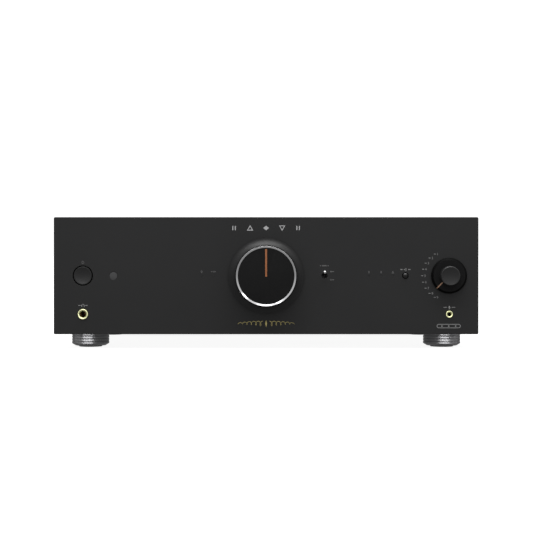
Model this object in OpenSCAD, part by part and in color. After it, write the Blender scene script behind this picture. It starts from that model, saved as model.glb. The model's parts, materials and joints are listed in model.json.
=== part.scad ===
// Integrated stereo amplifier: aluminium front panel, steel case, turned feet, controls and sockets.
// +X is to the right seen from the front, the front panel faces -Y, and the feet stand on Z = 0.

/* [Case] */
// Width of the front panel
body_w = 435; // [425:1:450]
// Height of the front panel
body_h = 120; // [118:1:130]
// Depth of the chassis behind the front panel
chassis_d = 300; // [295:1:330]
// Thickness of the front panel
panel_t = 10; // [9:0.5:11]
// Radius of the front panel's corners
corner_r = 1.5; // [0.5:0.1:4]
// Thickness of the sheet steel
sheet_t = 1.5; // [1.2:0.1:1.8]
// Width of one vent slot
vent_w = 3.2; // [2:0.1:3.6]
// Length of one vent slot
vent_len = 58; // [30:1:60]

/* [Feet] */
// Height of the feet
foot_h = 15; // [14:0.5:20]
// Diameter of a foot
foot_d = 39; // [34:1:44]
// Distance of each foot's axis from the middle
foot_x = 185; // [175:1:190]
// Distance of the front feet's axes behind the panel's face
foot_front_y = 45; // [35:1:60]
// Distance of the rear feet's axes behind the panel's face
foot_rear_y = 268; // [255:1:272]
// Diameter of the rubber pad under a foot
pad_d = 24; // [18:1:28]

/* [Volume knob] */
// Diameter of the knob at its front
knob_d = 60.7; // [56:0.1:64]
// Diameter of the flare at the panel
knob_flare_d = 78; // [74:0.5:80]
// How far the knob stands out of the panel
knob_out = 26; // [22:0.5:30]
// Width of the polished ring
ring_w = 2.3; // [1.5:0.1:3]
// Width of the pointer line
knob_line_w = 1.9; // [1.2:0.1:3]

/* [Input selector] */
// Distance of the selector from the middle
selector_x = 187.2; // [180:0.1:190]
// Diameter of the selector's skirt
selector_d = 36.6; // [34:0.2:40]
// Diameter of the selector's grip
selector_grip_d = 20; // [18:0.2:22]
// How far the selector stands out of the panel
selector_out = 15; // [13:0.5:18]
// Angle of the pointer at rest, counter-clockwise from +X seen from the front
selector_angle = 225; // [120:15:240]

/* [Buttons and toggle] */
// Distance of the power button from the middle
power_x = -187.7; // [-190:0.1:-180]
// Diameter of the power button
power_d = 18.4; // [16:0.2:19]
// Diameter of the hole round the power button
power_hole_d = 20.6; // [20:0.1:22]
// Travel of the power button
power_travel = 1.8; // [1:0.1:2]
// Position of the small push button along X
push_x = 142.6; // [138:0.1:150]
// Diameter of the small push button
push_d = 5.6; // [4:0.1:6]
// Position of the toggle along X
toggle_x = 59.8; // [56:0.1:64]
// Tilt of the toggle's lever from level, at rest
toggle_tilt = 13; // [8:1:14]
// Distance from the toggle's pivot to the middle of its ball tip
toggle_len = 16.5; // [14:0.5:18]
// Position of the remote control window along X
ir_x = -156.4; // [-160:0.1:-150]
// Diameter of the remote control window
ir_d = 7.8; // [6:0.1:9]

/* [Front sockets] */
// Distance of each front socket from the middle
jack_x = 187.6; // [184:0.1:190]
// Height of the front sockets' axes
jack_z = 35.5; // [34:0.5:40]
// Hole for a 6.35 mm headphone plug
phone_hole_d = 6.6; // [6.5:0.1:6.8]
// Hole for a 3.5 mm microphone plug
mic_hole_d = 3.7; // [3.6:0.05:3.8]

/* [Speaker terminals] */
// Hole for a 4 mm banana plug
banana_d = 4.1; // [4.05:0.05:4.2]
// How far the speaker terminals stand out of the rear panel
post_out = 26; // [24:0.5:28]
// Height of the speaker terminals' axes
post_z = 48; // [44:1:56]

/* [Hidden] */
$fn = 48;
eps = 0.01;

// Heights
control_z = foot_h + body_h / 2;
tray_z = foot_h + sheet_t;
case_top = foot_h + body_h;
cover_top = case_top - 0.5;
cover_in = cover_top - sheet_t;

// Depths, counted back from the panel's face
bracket_y = panel_t + sheet_t;
rear_y = panel_t + chassis_d;
rear_in = rear_y - sheet_t;
board_y = 24;
board_t = 1.6;

// Half widths
cover_x = body_w / 2 - 2.5;
tray_x = cover_x - sheet_t;

// The origin lies below the middle of the depth, from the volume knob to the terminal caps
middle_y = (rear_y + post_out - knob_out) / 2;

// Clearances: a shaft in its bush, a cap on its screw, and other moving parts
run_gap = 0.05;
screw_gap = 0.08;
side_gap = 0.3;

// Volume knob
knob_r = knob_d / 2;
wall_r = knob_r + 0.85;
face_r = knob_r - ring_w;
flare_r = knob_flare_d / 2;
knob_gap = 0.8;
face_z = knob_out - 1.2;
face_t = 2;
shaft_r = 3;
bush_r = 4.5;

// Selector
selector_r = selector_d / 2;
grip_r = selector_grip_d / 2;
skirt_z = 4.6;
skirt_bevel = 2;

// Toggle
toggle_pivot = 6;
toggle_ball_r = 2;
toggle_pin_r = 0.45;
toggle_pin_x = 2.4;
toggle_tip_r = 1.65;

// Front sockets: sleeve radii, and how far the sleeves reach behind the panel
phone_sleeve_r = 5;
mic_sleeve_r = 3.4;
sleeve_in = 6;

// Status lights sit on the control line
light_x = [-66, -54.2, 105.3, 117.7, 129.8];
light_r = 0.6;

// Rear sockets
rca_x = [-196, -176, -156, -136, -116];
rca_z = [64, 84];
rca_r = 4.15;
rca_hole_r = 4.6;
ground_x = -204;
ground_z = 44;
optical_x = -88;
ethernet_x = -56;
digital_z = 86;
inlet_x = 172;
inlet_z = 50;
post_x = [44, 63, 101, 120];
post_r = 3;
cap_r = 7;
collar_out = 6;
banana_deep = 19;
washer_t = 1;
ground_r = 1.8;

// Inside
toroid_x = -125;
toroid_y = 105;
toroid_r = 62;
toroid_h = 50;
toroid_in_r = 22;
sink_x = 20;
sink_y = [70, 260];
sink_h = 84;
board_z = 32;

// ---- helpers ----

// Moves the object so that the origin is under the middle of its depth
module placed() translate([0, -middle_y, 0]) children();

// Local +Z points out of the front panel and local +Y points up
module at_front(x, z, y = 0) translate([x, y, z]) rotate([90, 0, 0]) children();

// Local +Z points out of the rear panel, local +Y up and local +X to the right seen from behind
module at_rear(x, z, y = rear_y) translate([-x, y, z]) rotate([90, 0, 180]) children();

// Round bar along local Z from a to b
module bar(r, a, b) translate([0, 0, a]) cylinder(r = r, h = b - a);

// Tube along local Z from a to b
module tube(r_out, r_in, a, b) difference() {
    bar(r_out, a, b);
    bar(r_in, a - 1, b + 1);
}

// Box centred on local X and Y, from a to b along Z
module block(w, h, a, b) translate([-w / 2, -h / 2, a]) cube([w, h, b - a]);

// Rectangle with round corners
module round_rect(w, h, r) {
    square([w - 2 * r, h], center = true);
    square([w, h - 2 * r], center = true);
    for (x = [-1, 1], y = [-1, 1]) translate([x * (w / 2 - r), y * (h / 2 - r)]) circle(r);
}

// Slot with round ends along Y
module slot(w, len) {
    square([w, len - w], center = true);
    for (y = [-1, 1]) translate([0, y * (len - w) / 2]) circle(w / 2);
}

// A row of slots along X, cut through Z = a to b
module slot_row(x0, y, count, pitch, len, a, b)
    for (i = [0 : count - 1])
        translate([x0 + i * pitch, y, a]) linear_extrude(b - a) slot(vent_w, len);

// Pan head screw: head above local Z = 0, shank below
module pan_screw(head_r, head_h, shank_r, shank_len) {
    difference() {
        union() {
            bar(head_r, 0, head_h - 0.6);
            translate([0, 0, head_h - 0.6]) cylinder(r1 = head_r, r2 = head_r - 0.8, h = 0.6);
        }
        for (a = [0, 90]) rotate(a) block(0.9, head_r * 1.2, head_h - 1.2, head_h + 1);
    }
    bar(shank_r, -shank_len, 0);
}

// Printed circuit board lying flat, with holes in its corners
module flat_board(x, y, z) difference() {
    translate([x[0], y[0], z]) cube([x[1] - x[0], y[1] - y[0], board_t]);
    for (px = [x[0] + 6, x[1] - 6], py = [y[0] + 6, y[1] - 6])
        translate([px, py, z - 1]) cylinder(r = 1.6, h = board_t + 2);
}

// Places of the case screws
side_screw_y = [panel_t + 28, panel_t + chassis_d / 2, rear_y - 28];
side_screw_z = tray_z + 12;
rear_screws = [[-205, 26], [205, 26], [-205, 124], [205, 124], [0, 124], [0, 26]];
feet_at = [for (x = [-1, 1], y = [foot_front_y, foot_rear_y]) [x * foot_x, y]];

// ---- case ----

module front_panel() placed() color("#2e2e30") difference() {
    at_front(0, control_z, panel_t) linear_extrude(panel_t) round_rect(body_w, body_h, corner_r);
    at_front(0, control_z) bar(12, -panel_t - 1, 1);
    at_front(selector_x, control_z) bar(10, -panel_t - 1, 1);
    at_front(power_x, control_z) bar(power_hole_d / 2, -panel_t - 1, 1);
    at_front(ir_x, control_z) bar(ir_d / 2, -panel_t - 1, 1);
    at_front(push_x, control_z) bar(push_d / 2 + 0.4, -panel_t - 1, 1);
    at_front(toggle_x, control_z) bar(3, -panel_t - 1, 1);
    at_front(-jack_x, jack_z) bar(phone_sleeve_r, -panel_t - 1, 1);
    at_front(jack_x, jack_z) bar(mic_sleeve_r, -panel_t - 1, 1);
    for (x = light_x) at_front(x, control_z) bar(light_r, -panel_t - 1, 1);
}

// Sheet steel bracket behind the front panel, which carries the controls
module front_bracket() placed() color("#8f9296") difference() {
    translate([-tray_x + sheet_t, panel_t, tray_z])
        cube([2 * (tray_x - sheet_t), 14, cover_in - tray_z]);
    translate([-tray_x, bracket_y, tray_z + sheet_t])
        cube([2 * tray_x, 20, cover_in - tray_z - 2 * sheet_t]);
    at_front(0, control_z) bar(bush_r, -20, 1);
    at_front(selector_x, control_z) bar(bush_r, -20, 1);
    at_front(power_x, control_z) bar(13, -20, 1);
    at_front(ir_x, control_z) bar(6, -20, 1);
    at_front(push_x, control_z) bar(6, -20, 1);
    at_front(toggle_x, control_z) bar(2.9, -20, 1);
    at_front(-jack_x, jack_z) bar(phone_sleeve_r, -20, 1);
    at_front(jack_x, jack_z) bar(mic_sleeve_r, -20, 1);
    for (x = light_x) at_front(x, control_z) bar(2, -20, 1);
}

// Tray with side flanges, nut bushes for the feet and pillars for the boards
module bottom_chassis() placed() color("#7d8084") difference() {
    union() {
        difference() {
            translate([-tray_x, panel_t, foot_h]) cube([2 * tray_x, rear_in - panel_t, 25]);
            translate([-tray_x + sheet_t, 0, tray_z]) cube([2 * (tray_x - sheet_t), rear_y, 40]);
        }
        for (p = feet_at) translate([p[0], p[1], tray_z]) cylinder(r = 4, h = 3);
        for (p = pillars) translate([p[0], p[1], tray_z]) cylinder(r = 3, h = board_z - tray_z);
    }
    for (p = feet_at) translate([p[0], p[1], 0]) cylinder(r = 2, h = 30);
    for (p = pillars) translate([p[0], p[1], board_z - 8]) cylinder(r = 1.3, h = 9);
    translate([toroid_x, toroid_y, 0]) cylinder(r = 4, h = 30);
    for (x = [-1, 1], y = side_screw_y)
        translate([x * tray_x, y, side_screw_z]) rotate([0, 90, 0]) cylinder(r = 2, h = 8, center = true);
    slot_row(38, 105, 7, 9, 44, foot_h - 1, tray_z + 1);
    slot_row(38, 225, 7, 9, 44, foot_h - 1, tray_z + 1);
    slot_row(-150, 235, 10, 9, 44, foot_h - 1, tray_z + 1);
}

// Pillars under the corners of the flat boards
psu_x = [-205, -42];
psu_y = [188, 278];
amp_x = [-36, 19];
amp_y = [64, 266];
input_x = [100, 206];
input_y = [206, 304];
pillars = [for (b = [[psu_x, psu_y], [amp_x, amp_y], [input_x, input_y]],
    x = [b[0][0] + 6, b[0][1] - 6], y = [b[1][0] + 6, b[1][1] - 6]) [x, y]];

module rear_panel() placed() color("#232325") difference() {
    translate([-tray_x, rear_in, foot_h]) cube([2 * tray_x, sheet_t, cover_in - foot_h]);
    for (x = rca_x, z = rca_z) at_rear(x, z) bar(rca_hole_r, -5, 5);
    at_rear(ground_x, ground_z) bar(ground_r, -5, 5);
    at_rear(optical_x, digital_z) block(13, 11, -5, 5);
    at_rear(ethernet_x, digital_z) block(16, 13.5, -5, 5);
    at_rear(inlet_x, inlet_z) block(27.5, 20, -5, 5);
    for (x = post_x) at_rear(x, post_z) bar(5, -5, 5);
    for (p = rear_screws) at_rear(p[0], p[1]) bar(1.5, -5, 5);
    for (x = [-1, 1]) at_rear(inlet_x + x * 20, inlet_z) bar(1.5, -5, 5);
    for (i = [0 : 9]) at_rear(20 + i * 9, 100) linear_extrude(12, center = true) slot(vent_w, 30);
}

module top_cover() placed() color("#1f1f21") difference() {
    translate([-cover_x, panel_t, foot_h + 0.5]) cube([2 * cover_x, chassis_d, cover_top - foot_h - 0.5]);
    translate([-tray_x, 0, 0]) cube([2 * tray_x, rear_y + 10, cover_in]);
    for (y = [0, 1]) {
        slot_row(-16 * 8, 110 + y * 120, 16, 8, vent_len, cover_in - 1, cover_top + 1);
        slot_row(16, 110 + y * 120, 16, 8, vent_len, cover_in - 1, cover_top + 1);
    }
    for (x = [-1, 1], y = side_screw_y)
        translate([x * cover_x, y, side_screw_z]) rotate([0, 90, 0]) cylinder(r = 2, h = 8, center = true);
}

// Side screws, rear screws and the screws that hold the feet
module case_screws() placed() color("#3a3a3c") {
    for (x = [-1, 1], y = side_screw_y)
        translate([x * cover_x, y, side_screw_z]) rotate([0, x * 90, 0]) pan_screw(3.6, 2.2, 2, 8);
    for (p = rear_screws) at_rear(p[0], p[1]) pan_screw(3, 1.8, 1.5, 6);
    for (p = feet_at) translate([p[0], p[1], foot_head_z]) mirror([0, 0, 1]) pan_screw(3.8, 2.2, 2, 16);
}

// ---- feet ----

foot_base = 1.2;
pad_deep = 2;
foot_head_z = foot_base + pad_deep + 2.6;
groove_pitch = 2.9;

// Turned foot with three grooves, a bevelled lower edge and a pocket for its pad
module foot() rotate_extrude($fn = 96) difference() {
    polygon([[2, foot_base], [foot_d / 2 - 1.6, foot_base], [foot_d / 2, foot_base + 1.3],
        [foot_d / 2, foot_h], [2, foot_h]]);
    square([pad_d / 2, foot_base + pad_deep]);
    square([4.2, foot_head_z]);
    for (i = [1 : 3]) translate([foot_d / 2 + 0.15, foot_h - 0.4 - i * groove_pitch]) circle(0.55);
}

module feet() placed() color("#9b9da0") for (p = feet_at) translate([p[0], p[1], 0]) foot();

module foot_pads() placed() color("#111112") for (p = feet_at) translate([p[0], p[1], 0])
    rotate_extrude() {
        square([pad_d / 2, foot_base + pad_deep - 0.8]);
        square([pad_d / 2 - 0.8, foot_base + pad_deep]);
    }

// ---- controls that stay still ----

module volume_pot() placed() color("#55585c") at_front(0, control_z) difference() {
    union() {
        block(25, 25, -board_y + side_gap, -bracket_y);
        bar(bush_r, -bracket_y - 1, -1);
        bar(10, -board_y - 26, -board_y + 1);
        bar(8, -board_y - 28, -board_y - 24);
    }
    bar(shaft_r + run_gap, -20, 5);
}

module selector_switch() placed() color("#3f5f4a") at_front(selector_x, control_z) difference() {
    union() {
        bar(12.5, -board_y + side_gap, -bracket_y);
        bar(bush_r, -bracket_y - 1, -2);
        bar(5, -board_y - 6, -board_y + 1);
    }
    bar(shaft_r + run_gap, -20, 5);
}

// Hexagon nuts on the two bushes, in front of the bracket
module shaft_nuts() placed() color("#c9b46a") for (x = [0, selector_x]) at_front(x, control_z)
    difference() {
        translate([0, 0, -panel_t]) cylinder(r = 7.5, h = 2.6, $fn = 6);
        bar(bush_r, -panel_t - 1, 1);
    }

// Switches behind the power button and the small push button
module push_switches() placed() color("#1b1c1e") {
    at_front(power_x, control_z) difference() {
        block(15, 15, -board_y, -16.5);
        bar(2.3, -board_y + 1, 0);
    }
    at_front(push_x, control_z) difference() {
        block(8, 8, -board_y, -17);
        bar(1.4, -board_y + 1, 0);
    }
}

module toggle_switch() placed() color("#161618") at_front(toggle_x, control_z) difference() {
    union() {
        bar(2.9, -14, -1.2);
        block(9, 13, -board_y, -12.5);
    }
    translate([0, 0, -toggle_pivot]) sphere(toggle_ball_r + run_gap);
    translate([0, 0, -toggle_pivot]) rotate([0, 90, 0])
        cylinder(r = toggle_pin_r + run_gap, h = 2 * toggle_pin_x + 0.2, center = true);
    translate([0, 0, -toggle_pivot]) cylinder(r1 = 1.2, r2 = 2.55, h = toggle_pivot - 1);
    translate([0, 0, -toggle_pivot - 7.5]) cylinder(r1 = 2.5, r2 = 1.2, h = 7.5);
    block(3, 9, -20, -toggle_pivot - 7);
}

module ir_window() placed() color("#454548") at_front(ir_x, control_z) {
    bar(ir_d / 2, -panel_t, 0);
    bar(5.5, -panel_t - 1.2, -panel_t);
}

module indicator_lights() placed() color("#3c3c3f") for (x = light_x) at_front(x, control_z) {
    bar(light_r, -panel_t, 0);
    bar(1.6, -board_y, -panel_t);
}

// Threaded sleeve with a rounded flange outside the panel and a bevelled mouth
module jack_ring(hole_r, sleeve_r, flange_r) rotate_extrude() difference() {
    union() {
        translate([0, -panel_t - sleeve_in]) square([sleeve_r, panel_t + sleeve_in]);
        square([flange_r - 0.6, 1.2]);
        square([flange_r, 0.6]);
        translate([flange_r - 0.6, 0.6]) circle(0.6);
    }
    translate([0, -panel_t - sleeve_in - 1]) square([hole_r, panel_t + sleeve_in + 3]);
    polygon([[0, 0.7], [hole_r, 0.7], [hole_r + 0.6, 1.3], [0, 1.3]]);
}

module headphone_jack_ring() placed() color("#d9d38f") at_front(-jack_x, jack_z)
    jack_ring(phone_hole_d / 2, phone_sleeve_r, phone_sleeve_r + 0.4);

module mic_jack_ring() placed() color("#d9d38f") at_front(jack_x, jack_z)
    jack_ring(mic_hole_d / 2, mic_sleeve_r, mic_sleeve_r + 0.35);

// Plastic bodies of the two front sockets
module jack_bodies() placed() color("#141415") {
    at_front(-jack_x, jack_z) difference() {
        block(16, 16, -44, -panel_t - sleeve_in);
        bar(phone_hole_d / 2, -40, 0);
    }
    at_front(jack_x, jack_z) difference() {
        block(11, 12, -34, -panel_t - sleeve_in);
        bar(mic_hole_d / 2, -31, 0);
    }
}

module front_control_board() placed() color("#1f6b45") {
    difference() {
        translate([-203, board_y, 52]) cube([406, board_t, 62]);
        at_front(0, control_z) bar(10.5, -board_y - 5, 0);
        at_front(selector_x, control_z) bar(5.4, -board_y - 5, 0);
    }
    receiver();
}

// Remote control receiver on the board, behind its window
module receiver() at_front(ir_x, control_z) block(7, 9, -board_y, -14);

// ---- inside ----

module toroidal_transformer() placed() color("#2d4a7a") translate([toroid_x, toroid_y, tray_z + 2])
    rotate_extrude($fn = 72) translate([(toroid_r + toroid_in_r) / 2, toroid_h / 2])
        round_rect(toroid_r - toroid_in_r, toroid_h, 9);

// Rubber-backed dish, bolt and nut that hold the transformer down
module transformer_clamp() placed() color("#b9bcc0") translate([toroid_x, toroid_y, 0]) {
    difference() {
        translate([0, 0, tray_z + 2 + toroid_h]) cylinder(r1 = 38, r2 = 34, h = 3);
        bar(4, 0, 200);
    }
    bar(4, foot_h, tray_z + toroid_h + 14);
    translate([0, 0, tray_z + toroid_h + 5 + eps]) difference() {
        cylinder(r = 7.5, h = 6, $fn = 6);
        bar(4, -1, 10);
    }
}

// Extruded heatsink: upright plate with level fins
module heatsink() placed() color("#2a2b2d") translate([sink_x, sink_y[1], tray_z]) rotate([90, 0, 0])
    linear_extrude(sink_y[1] - sink_y[0]) {
        square([8, sink_h]);
        for (i = [0 : 9]) translate([7, 4 + i * 8.4]) square([52, 2.4]);
    }

module output_transistors() placed() color("#18181a") for (y = [100, 140, 190, 230])
    translate([sink_x - 5, y - 8, 56]) {
        cube([5, 16, 21]);
        for (i = [-1, 0, 1]) translate([2, 7.4 + i * 5.4, board_z + board_t - 56])
            cube([0.8, 1.2, 56 - board_z - board_t]);
    }

module amplifier_board() placed() color("#1c5f86") {
    flat_board(amp_x, amp_y, board_z);
    for (i = [0 : 5]) translate([-24 + (i % 2) * 14, 88 + i * 30, board_z + board_t])
        cylinder(r = 5, h = 14);
}

module filter_capacitors() placed() color("#1a1a22") for (i = [0 : 3])
    translate([-186 + i * 38, 233, board_z + board_t]) {
        cylinder(r = 17, h = 50);
        cylinder(r = 17.5, h = 47);
    }

module power_supply_board() placed() color("#1f6b45") {
    flat_board(psu_x, psu_y, board_z);
    for (i = [0 : 3]) translate([-170 + i * 32, 200, board_z + board_t]) cube([14, 5, 14]);
}

module input_board() placed() color("#1f6b45") {
    flat_board(input_x, input_y, board_z);
    for (i = [0 : 2]) translate([118 + i * 26, 218, board_z + board_t]) cube([16, 12, 12]);
    for (i = [0 : 3]) translate([112 + i * 24, 244, board_z + board_t]) cylinder(r = 3, h = 8);
}

// Flat cable from the control board down to the floor and back under the input board
module ribbon_cable() placed() color("#8a8d91") translate([150, 0, 0]) rotate([90, 0, 90])
    linear_extrude(26) polygon([[board_y + board_t, 60], [40, 60], [40, 18.5], [222, 18.5], [222, board_z],
        [223, board_z], [223, 17.5], [39, 17.5], [39, 59], [board_y + board_t, 59]]);

// ---- rear sockets ----

// Mains inlet for a standard appliance coupler, with three blades
module ac_inlet() placed() color("#121213") at_rear(inlet_x, inlet_z) {
    difference() {
        union() {
            block(27.5, 20, -26, 0);
            linear_extrude(3) round_rect(50, 24, 6);
        }
        translate([0, 0, -17]) linear_extrude(30) polygon([[-12.2, -8.2], [12.2, -8.2], [12.2, 3.4],
            [7.4, 8.2], [-7.4, 8.2], [-12.2, 3.4]]);
        for (x = [-1, 1]) translate([x * 20, 0, 0]) bar(1.7, -1, 5);
    }
    for (p = [[-7, -2], [7, -2], [0, 2]]) translate([p[0], p[1], 0]) block(2, 4, -18, -3);
    for (x = [-1, 1]) translate([x * 20, 0, 0]) bar(1.7, -1.4, 1.6);
}

// Box centred on local X, from one height to another and from a to b along Z
module block_between(w, low, high, a, b) translate([-w / 2, low, a]) cube([w, high - low, b - a]);

// Black housings behind the panel, with a flange round each collar
module rca_housings() placed() color("#151516") for (x = rca_x) {
    at_rear(x, 0) block_between(12, board_z + board_t, 92, -14, -sheet_t);
    for (z = rca_z) at_rear(x, z) {
        tube(rca_hole_r, rca_r, -sheet_t, 0.5);
        tube(rca_hole_r + 1.4, rca_r, 0, 0.9);
    }
}

module rca_collars() placed() color("#d7c27a") for (x = rca_x, z = rca_z) at_rear(x, z)
    tube(rca_r, rca_r - 0.5, -sheet_t, 9.5);

// Insulator with the hole for the plug's pin
module rca_insulator() tube(rca_r - 0.5, 1.65, -sheet_t, 8.9);

module rca_insulators_white() placed() color("#e6e4dc") for (x = rca_x) at_rear(x, rca_z[1]) rca_insulator();

module rca_insulators_red() placed() color("#b0201c") for (x = rca_x) at_rear(x, rca_z[0]) rca_insulator();

// Plate and collars that insulate the speaker terminals
module speaker_terminal_base() placed() color("#18181a") difference() {
    union() {
        at_rear((post_x[0] + post_x[3]) / 2, post_z) linear_extrude(3) round_rect(104, 26, 3);
        for (x = post_x) at_rear(x, post_z) {
            bar(cap_r + 0.8, 0, collar_out - 0.2);
            bar(5, -6, 0);
        }
    }
    for (x = post_x) at_rear(x, post_z) bar(post_r, -20, 20);
}

// Metal post with the banana socket in its end
module post() difference() {
    bar(post_r, -16, post_out);
    bar(banana_d / 2, post_out - banana_deep, post_out + 1);
}

module speaker_posts() placed() color("#d2bd72") for (x = post_x) at_rear(x, post_z) post();

// Fluted cap that screws along the post
module terminal_cap(i) placed() color(i % 2 == 0 ? "#a01c1a" : "#1a1a1b") at_rear(post_x[i], post_z)
    difference() {
        union() {
            bar(cap_r, collar_out + washer_t + 0.1, post_out - 1.5);
            bar(cap_r - 1, post_out - 1.6, post_out - 0.5);
        }
        bar(post_r + screw_gap, 0, 40);
        for (a = [0 : 36 : 359]) rotate(a) translate([cap_r + 0.5, 0, 0])
            bar(1.1, collar_out + washer_t + 2.5, post_out + 1);
    }

module terminal_cap_1() terminal_cap(0);
module terminal_cap_2() terminal_cap(1);
module terminal_cap_3() terminal_cap(2);
module terminal_cap_4() terminal_cap(3);

// Loose washer between a cap and its collar, which clamps the wire and doesn't turn
module terminal_washer(i) placed() color("#d2bd72") at_rear(post_x[i], post_z)
    tube(cap_r - 1, post_r + screw_gap, collar_out, collar_out + washer_t);

module terminal_washer_1() terminal_washer(0);
module terminal_washer_2() terminal_washer(1);
module terminal_washer_3() terminal_washer(2);
module terminal_washer_4() terminal_washer(3);

// Grounding post for a turntable
module ground_post() placed() color("#c9cbd0") at_rear(ground_x, ground_z) {
    bar(ground_r, -8, 12);
    tube(4.6, ground_r, 0, 1.4);
}

module ground_washer() placed() color("#b9bcc0") at_rear(ground_x, ground_z)
    tube(4, ground_r + screw_gap, 1.5, 2.3);

module ground_cap() placed() color("#dfe1e4") at_rear(ground_x, ground_z) difference() {
    union() {
        bar(5, 2.4, 9);
        bar(3.4, 9 - eps, 11);
    }
    bar(ground_r + screw_gap, 0, 20);
    for (a = [0 : 30 : 359]) rotate(a) translate([5.5, 0, 0]) bar(0.8, 3.2, 10);
}

// Optical input: a square socket closed by a flap that swings inwards
flap_w = 9;
flap_h = 8;
flap_t = 0.8;
flap_at = -5;

module optical_socket() placed() color("#17171a") at_rear(optical_x, digital_z) difference() {
    union() {
        block(13, 11, -16.5, 0.6);
        block(15.5, 13.5, 0, 0.6);
    }
    block(flap_w + 0.6, flap_h + 0.6, -13.5, 2);
    for (x = [-1, 1]) translate([x * 5.2, flap_h / 2 - 0.5, flap_at]) rotate([0, 90, 0])
        cylinder(r = 0.55, h = 1.4, center = true);
}

module optical_flap() placed() color("#2c2c30") at_rear(optical_x, digital_z) {
    block(flap_w, flap_h, flap_at - flap_t / 2, flap_at + flap_t / 2);
    translate([0, flap_h / 2 - 0.5, flap_at]) rotate([0, 90, 0]) cylinder(r = 0.5, h = 11, center = true);
}

// Network socket with its stepped opening
module ethernet_socket() placed() color("#b9bcc0") at_rear(ethernet_x, digital_z) difference() {
    block(16, 13.5, -16, 0.8);
    translate([0, 0.6, 0]) block(11.8, 7.6, -13, 2);
    translate([0, -4, 0]) block(6, 4, -13, 2);
}

// ---- moving controls ----

// Knob body: a straight wall with a base that flares out to the panel, hollow behind
module volume_knob() placed() color("#29292b") at_front(0, control_z) rotate_extrude($fn = 120)
    difference() {
        union() {
            translate([shaft_r, knob_gap]) square([flare_r - shaft_r, flare_z - knob_gap]);
            translate([shaft_r, knob_gap]) square([wall_r - shaft_r, knob_out - 2 - knob_gap]);
            translate([shaft_r, knob_gap]) square([wall_r - 0.4 - shaft_r, knob_out - 1.6 - knob_gap]);
        }
        translate([flare_r, flare_z]) circle(cove_r);
        // Seat of the face, room for the nut, and the hollow back
        translate([0, face_z - face_t]) square([face_r, 10]);
        square([13, 8]);
        translate([17, 0]) square([9, 16]);
        // Hole for the shaft's end
        square([shaft_r, 18]);
    }

cove_r = flare_r - wall_r;
flare_z = knob_gap + 0.7 + cove_r;

// Polished ring: a narrow crest that slopes in to the face
module volume_knob_ring() placed() color("#c8cacd") at_front(0, control_z) rotate_extrude($fn = 120)
    polygon([[face_r, knob_out - 1.6], [knob_r, knob_out - 1.6], [knob_r, knob_out - 0.5],
        [knob_r - 0.4, knob_out], [knob_r - 0.7, knob_out], [face_r, knob_out - 1]]);

module volume_knob_face() placed() color("#19191a") at_front(0, control_z) difference() {
    bar(face_r, face_z - face_t, face_z);
    pointer_bar(face_z - 0.8, face_z + 1);
}

// Line inlaid in the knob's face, from just below its middle out to the ring
module pointer_bar(a, b) translate([-knob_line_w / 2, -0.6, a]) cube([knob_line_w, face_r - 0.2, b - a]);

module volume_pointer() placed() color("#a5652f") at_front(0, control_z) pointer_bar(face_z - 0.8, face_z + 0.05);

module volume_shaft() placed() color("#b9bcc0") at_front(0, control_z) bar(shaft_r, -19, 18);

// Half section of the skirt, grown by d
module skirt_section(d) polygon([[0, knob_gap], [selector_r + d, knob_gap], [selector_r + d, 1.9 + d / 2],
    [selector_r - skirt_bevel + d / 2, skirt_z + d], [0, skirt_z + d]]);

// The space of the pointer line: a strip down the skirt's face and bevel
module pointer_strip() difference() {
    rotate(selector_angle) translate([grip_r - 0.6, -0.6, knob_gap - 1]) cube([selector_r, 1.2, 9]);
    rotate_extrude($fn = 96) skirt_section(-0.5);
    bar(selector_r + 2, -2, knob_gap + 0.4);
}

// Skirt with a bevelled rim, one piece with its shaft
module selector_skirt() placed() color("#1a1a1b") at_front(selector_x, control_z) difference() {
    union() {
        rotate_extrude($fn = 96) skirt_section(0);
        bar(shaft_r, -19, knob_gap + 1);
    }
    tube(9, 6, 0, 3.6);
    pointer_strip();
}

// Grip with a dished face
module selector_grip() placed() color("#333335") at_front(selector_x, control_z) difference() {
    union() {
        translate([0, 0, skirt_z]) cylinder(r1 = grip_r, r2 = grip_r - 0.3, h = selector_out - skirt_z - 0.5, $fn = 72);
        translate([0, 0, selector_out - 0.5]) cylinder(r1 = grip_r - 0.3, r2 = grip_r - 0.8, h = 0.5, $fn = 72);
    }
    translate([0, 0, selector_out + dish_r - 1.4]) sphere(dish_r, $fn = 96);
}

dish_r = 30;

module selector_pointer() placed() color("#c08a63") at_front(selector_x, control_z) intersection() {
    pointer_strip();
    rotate_extrude($fn = 96) skirt_section(0.04);
    difference() {
        bar(selector_r + 2, 0, 9);
        bar(grip_r + 0.05, skirt_z - 0.6, 9);
    }
}

// Dished button with a flange behind the panel and a stem into its switch
module power_button() placed() color("#2c2c2e") at_front(power_x, control_z) difference() {
    union() {
        bar(power_d / 2, -panel_t - 1.8, 0);
        translate([0, 0, -eps]) cylinder(r1 = power_d / 2, r2 = power_d / 2 - 0.4, h = 0.4);
        bar(power_hole_d / 2 + 1.2, -panel_t - 1.8, -panel_t - side_gap);
        bar(2, -board_y + 1.2 + power_travel, -panel_t);
    }
    translate([0, 0, 22 - 1.3]) sphere(22, $fn = 96);
}

module push_button() placed() color("#0e0e0f") at_front(push_x, control_z) {
    bar(push_d / 2, -panel_t - 1, 0.4);
    intersection() {
        translate([0, 0, 1.9 - push_dome_r]) sphere(push_dome_r, $fn = 64);
        bar(push_d / 2, 0, 3);
    }
    bar(push_d / 2 + 1.2, -panel_t - 1.4, -panel_t - side_gap);
    bar(1.2, -20.5, -panel_t);
}

push_dome_r = 3.4;

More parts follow.
